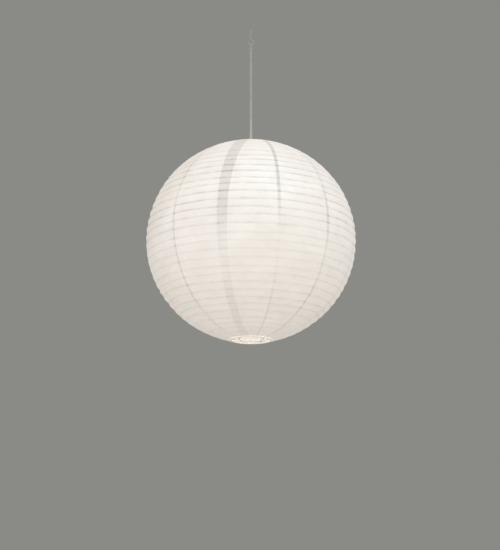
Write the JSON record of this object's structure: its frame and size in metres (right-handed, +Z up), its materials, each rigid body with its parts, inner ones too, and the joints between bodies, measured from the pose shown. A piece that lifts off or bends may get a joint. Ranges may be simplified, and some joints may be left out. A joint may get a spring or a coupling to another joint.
{
  "type": "paper lantern pendant shade",
  "caption": "Round white paper lantern shade over a wire helix, hung on a white flex from a ceiling hook, with its wire expander, lamp holder and lit bulb.",
  "frame": {"origin": "point on the ceiling where the hook's thread goes in, at the top face of its collar", "axes": "+Z up along the flex; -Y towards the viewer of the side with the closing lap; +X to that viewer's right"},
  "size_m": [0.4488, 0.4489, 0.7037],
  "materials": {
    "paper": "matt translucent rice paper, lit from inside",
    "rib_steel": "thin drawn wire",
    "ring_steel": "zinc plated wire",
    "expander_steel": "zinc plated spring wire",
    "holder_plastic": "moulded, satin",
    "grip_plastic": "moulded, satin",
    "contact_brass": "pressed",
    "screw_steel": "zinc plated",
    "bulb_nickel": "nickel plated, satin",
    "bulb_insulation": "black moulded",
    "bulb_board": "white solder mask",
    "bulb_plastic": "white moulded",
    "bulb_opal": "opal diffuser, lit",
    "flex": "white round flex",
    "hanger_plastic": "white moulded",
    "hook_paint": "white coated"
  },
  "bodies": {
    "ceiling": {"ceiling_hook": "hook_paint"},
    "hanger": {"cord_hanger": "hanger_plastic"},
    "pendant": {"cord": "flex", "holder_body": "holder_plastic", "holder_cap": "holder_plastic", "holder_collar": "holder_plastic", "holder_contact": "contact_brass", "holder_cord_grip": "grip_plastic", "holder_insert": "holder_plastic", "holder_screw_left": "screw_steel", "holder_screw_right": "screw_steel", "holder_screw_shell": "contact_brass"},
    "shade": {"gore_01": "paper", "gore_02": "paper", "gore_03": "paper", "gore_04": "paper", "gore_05": "paper", "gore_06": "paper", "gore_07": "paper", "gore_08": "paper", "gore_09": "paper", "gore_10": "paper", "gore_11": "paper", "gore_12": "paper", "rib_wire": "rib_steel", "top_ring": "ring_steel", "expander_hub": "expander_steel"},
    "leg_left": {"expander_leg_left": "expander_steel"},
    "leg_right": {"expander_leg_right": "expander_steel"},
    "lower_ring": {"bottom_ring": "ring_steel"},
    "bulb_contact": {"bulb_tip": "bulb_nickel"},
    "bulb": {"bulb_insulator": "bulb_insulation", "bulb_cap": "bulb_nickel", "bulb_housing": "bulb_plastic", "bulb_led_board": "bulb_board", "bulb_globe": "bulb_opal"}
  },
  "joints": [
    {"name": "hanger_swing", "type": "hinge", "parent": "ceiling", "child": "hanger", "pos_m": [0, 0, -0.0181], "axis": [1, 0, 0], "range_deg": [-30, 30]},
    {"name": "flex_swing", "type": "hinge", "parent": "hanger", "child": "pendant", "pos_m": [0, 0, -0.0359], "axis": [0, 1, 0], "range_deg": [-20, 20]},
    {"name": "shade_turn", "type": "hinge", "parent": "pendant", "child": "shade", "pos_m": [0, 0, -0.2844], "axis": [0, 0, 1], "continuous": true},
    {"name": "leg_left_squeeze", "type": "hinge", "parent": "shade", "child": "leg_left", "pos_m": [-0.031, 0, -0.2844], "axis": [0, -1, 0], "range_deg": [0, 1.5], "stiffness_Nm_per_rad": 4, "springref_deg": -0.57},
    {"name": "leg_right_squeeze", "type": "hinge", "parent": "shade", "child": "leg_right", "pos_m": [0.031, 0, -0.2844], "axis": [0, 1, 0], "range_deg": [0, 1.5], "stiffness_Nm_per_rad": 4, "springref_deg": -0.57},
    {"name": "ring_lift", "type": "slide", "parent": "shade", "child": "lower_ring", "axis": [0, 0, 1], "range_m": [0, 0.385], "deforming": ["gore_01", "gore_02", "gore_03", "gore_04", "gore_05", "gore_06", "gore_07", "gore_08", "gore_09", "gore_10", "gore_11", "gore_12", "rib_wire"]},
    {"name": "bulb_travel", "type": "slide", "parent": "pendant", "child": "bulb_contact", "axis": [0, 0, -1], "range_m": [0, 0.0164]},
    {"name": "bulb_turn", "type": "hinge", "parent": "bulb_contact", "child": "bulb", "pos_m": [0, 0, -0.28865], "axis": [0, 0, -1], "range_deg": [0, 1620]}
  ],
  "couplings": [
    {"joint": "bulb_travel", "follows": "bulb_turn", "m_per_rad": 0.000578}
  ]
}
